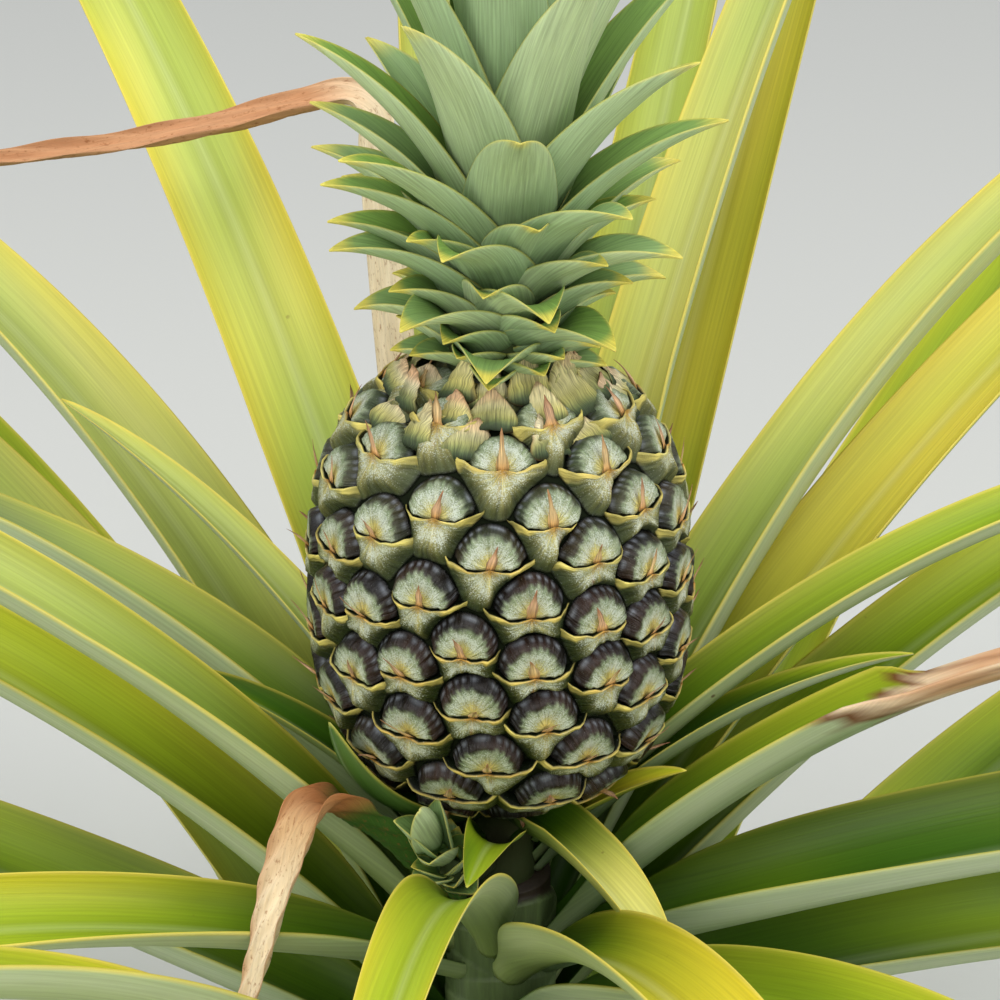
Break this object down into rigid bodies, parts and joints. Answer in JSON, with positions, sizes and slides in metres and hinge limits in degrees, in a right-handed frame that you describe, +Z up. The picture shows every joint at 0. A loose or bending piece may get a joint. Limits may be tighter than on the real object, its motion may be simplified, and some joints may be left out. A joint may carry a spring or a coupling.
{
  "type": "pineapple plant",
  "caption": "A rooted pineapple plant: a short stem with a rosette of long channelled leaves, bearing one ripening fruit with its leafy crown, a young shoot and dry leaves.",
  "frame": {"origin": "the middle of the flat cut under the stem, at ground level", "axes": "+Z up along the stem; -Y towards the side that the picture was taken from; +X to the right in that view"},
  "size_m": [1.1943, 1.1328, 0.6929],
  "materials": {
    "stem": "rough",
    "rind": "satin",
    "leaf": "satin",
    "crown": "satin",
    "dry_leaf": "rough"
  },
  "bodies": {
    "root": {"stem": "stem", "fruit_stalk": "stem", "fruit": "rind", "crown": "crown", "young_shoot": "crown", "leaf_01": "leaf", "leaf_02": "leaf", "leaf_03": "leaf", "leaf_04": "leaf", "leaf_05": "leaf", "leaf_06": "leaf", "leaf_07": "leaf", "leaf_08": "leaf", "leaf_09": "leaf", "leaf_10": "leaf", "leaf_11": "leaf", "leaf_12": "leaf", "leaf_13": "leaf", "leaf_14": "leaf", "leaf_15": "leaf", "leaf_16": "leaf", "leaf_17": "leaf", "leaf_18": "leaf", "leaf_19": "leaf", "leaf_20": "leaf", "leaf_21": "leaf", "leaf_22": "leaf", "leaf_23": "leaf", "leaf_24": "leaf", "leaf_25": "leaf", "leaf_26": "leaf", "leaf_27": "leaf", "leaf_28": "leaf", "leaf_29": "leaf", "leaf_30": "leaf", "leaf_31": "leaf", "leaf_32": "leaf", "leaf_33": "leaf", "leaf_34": "leaf", "leaf_35": "leaf", "leaf_36": "leaf", "leaf_37": "leaf", "leaf_38": "leaf", "leaf_39": "leaf", "leaf_40": "leaf", "leaf_41": "leaf", "leaf_42": "leaf", "leaf_43": "leaf", "leaf_44": "leaf", "leaf_45": "leaf", "dry_leaf_front": "dry_leaf", "dry_leaf_back": "dry_leaf"}
  },
  "joints": []
}
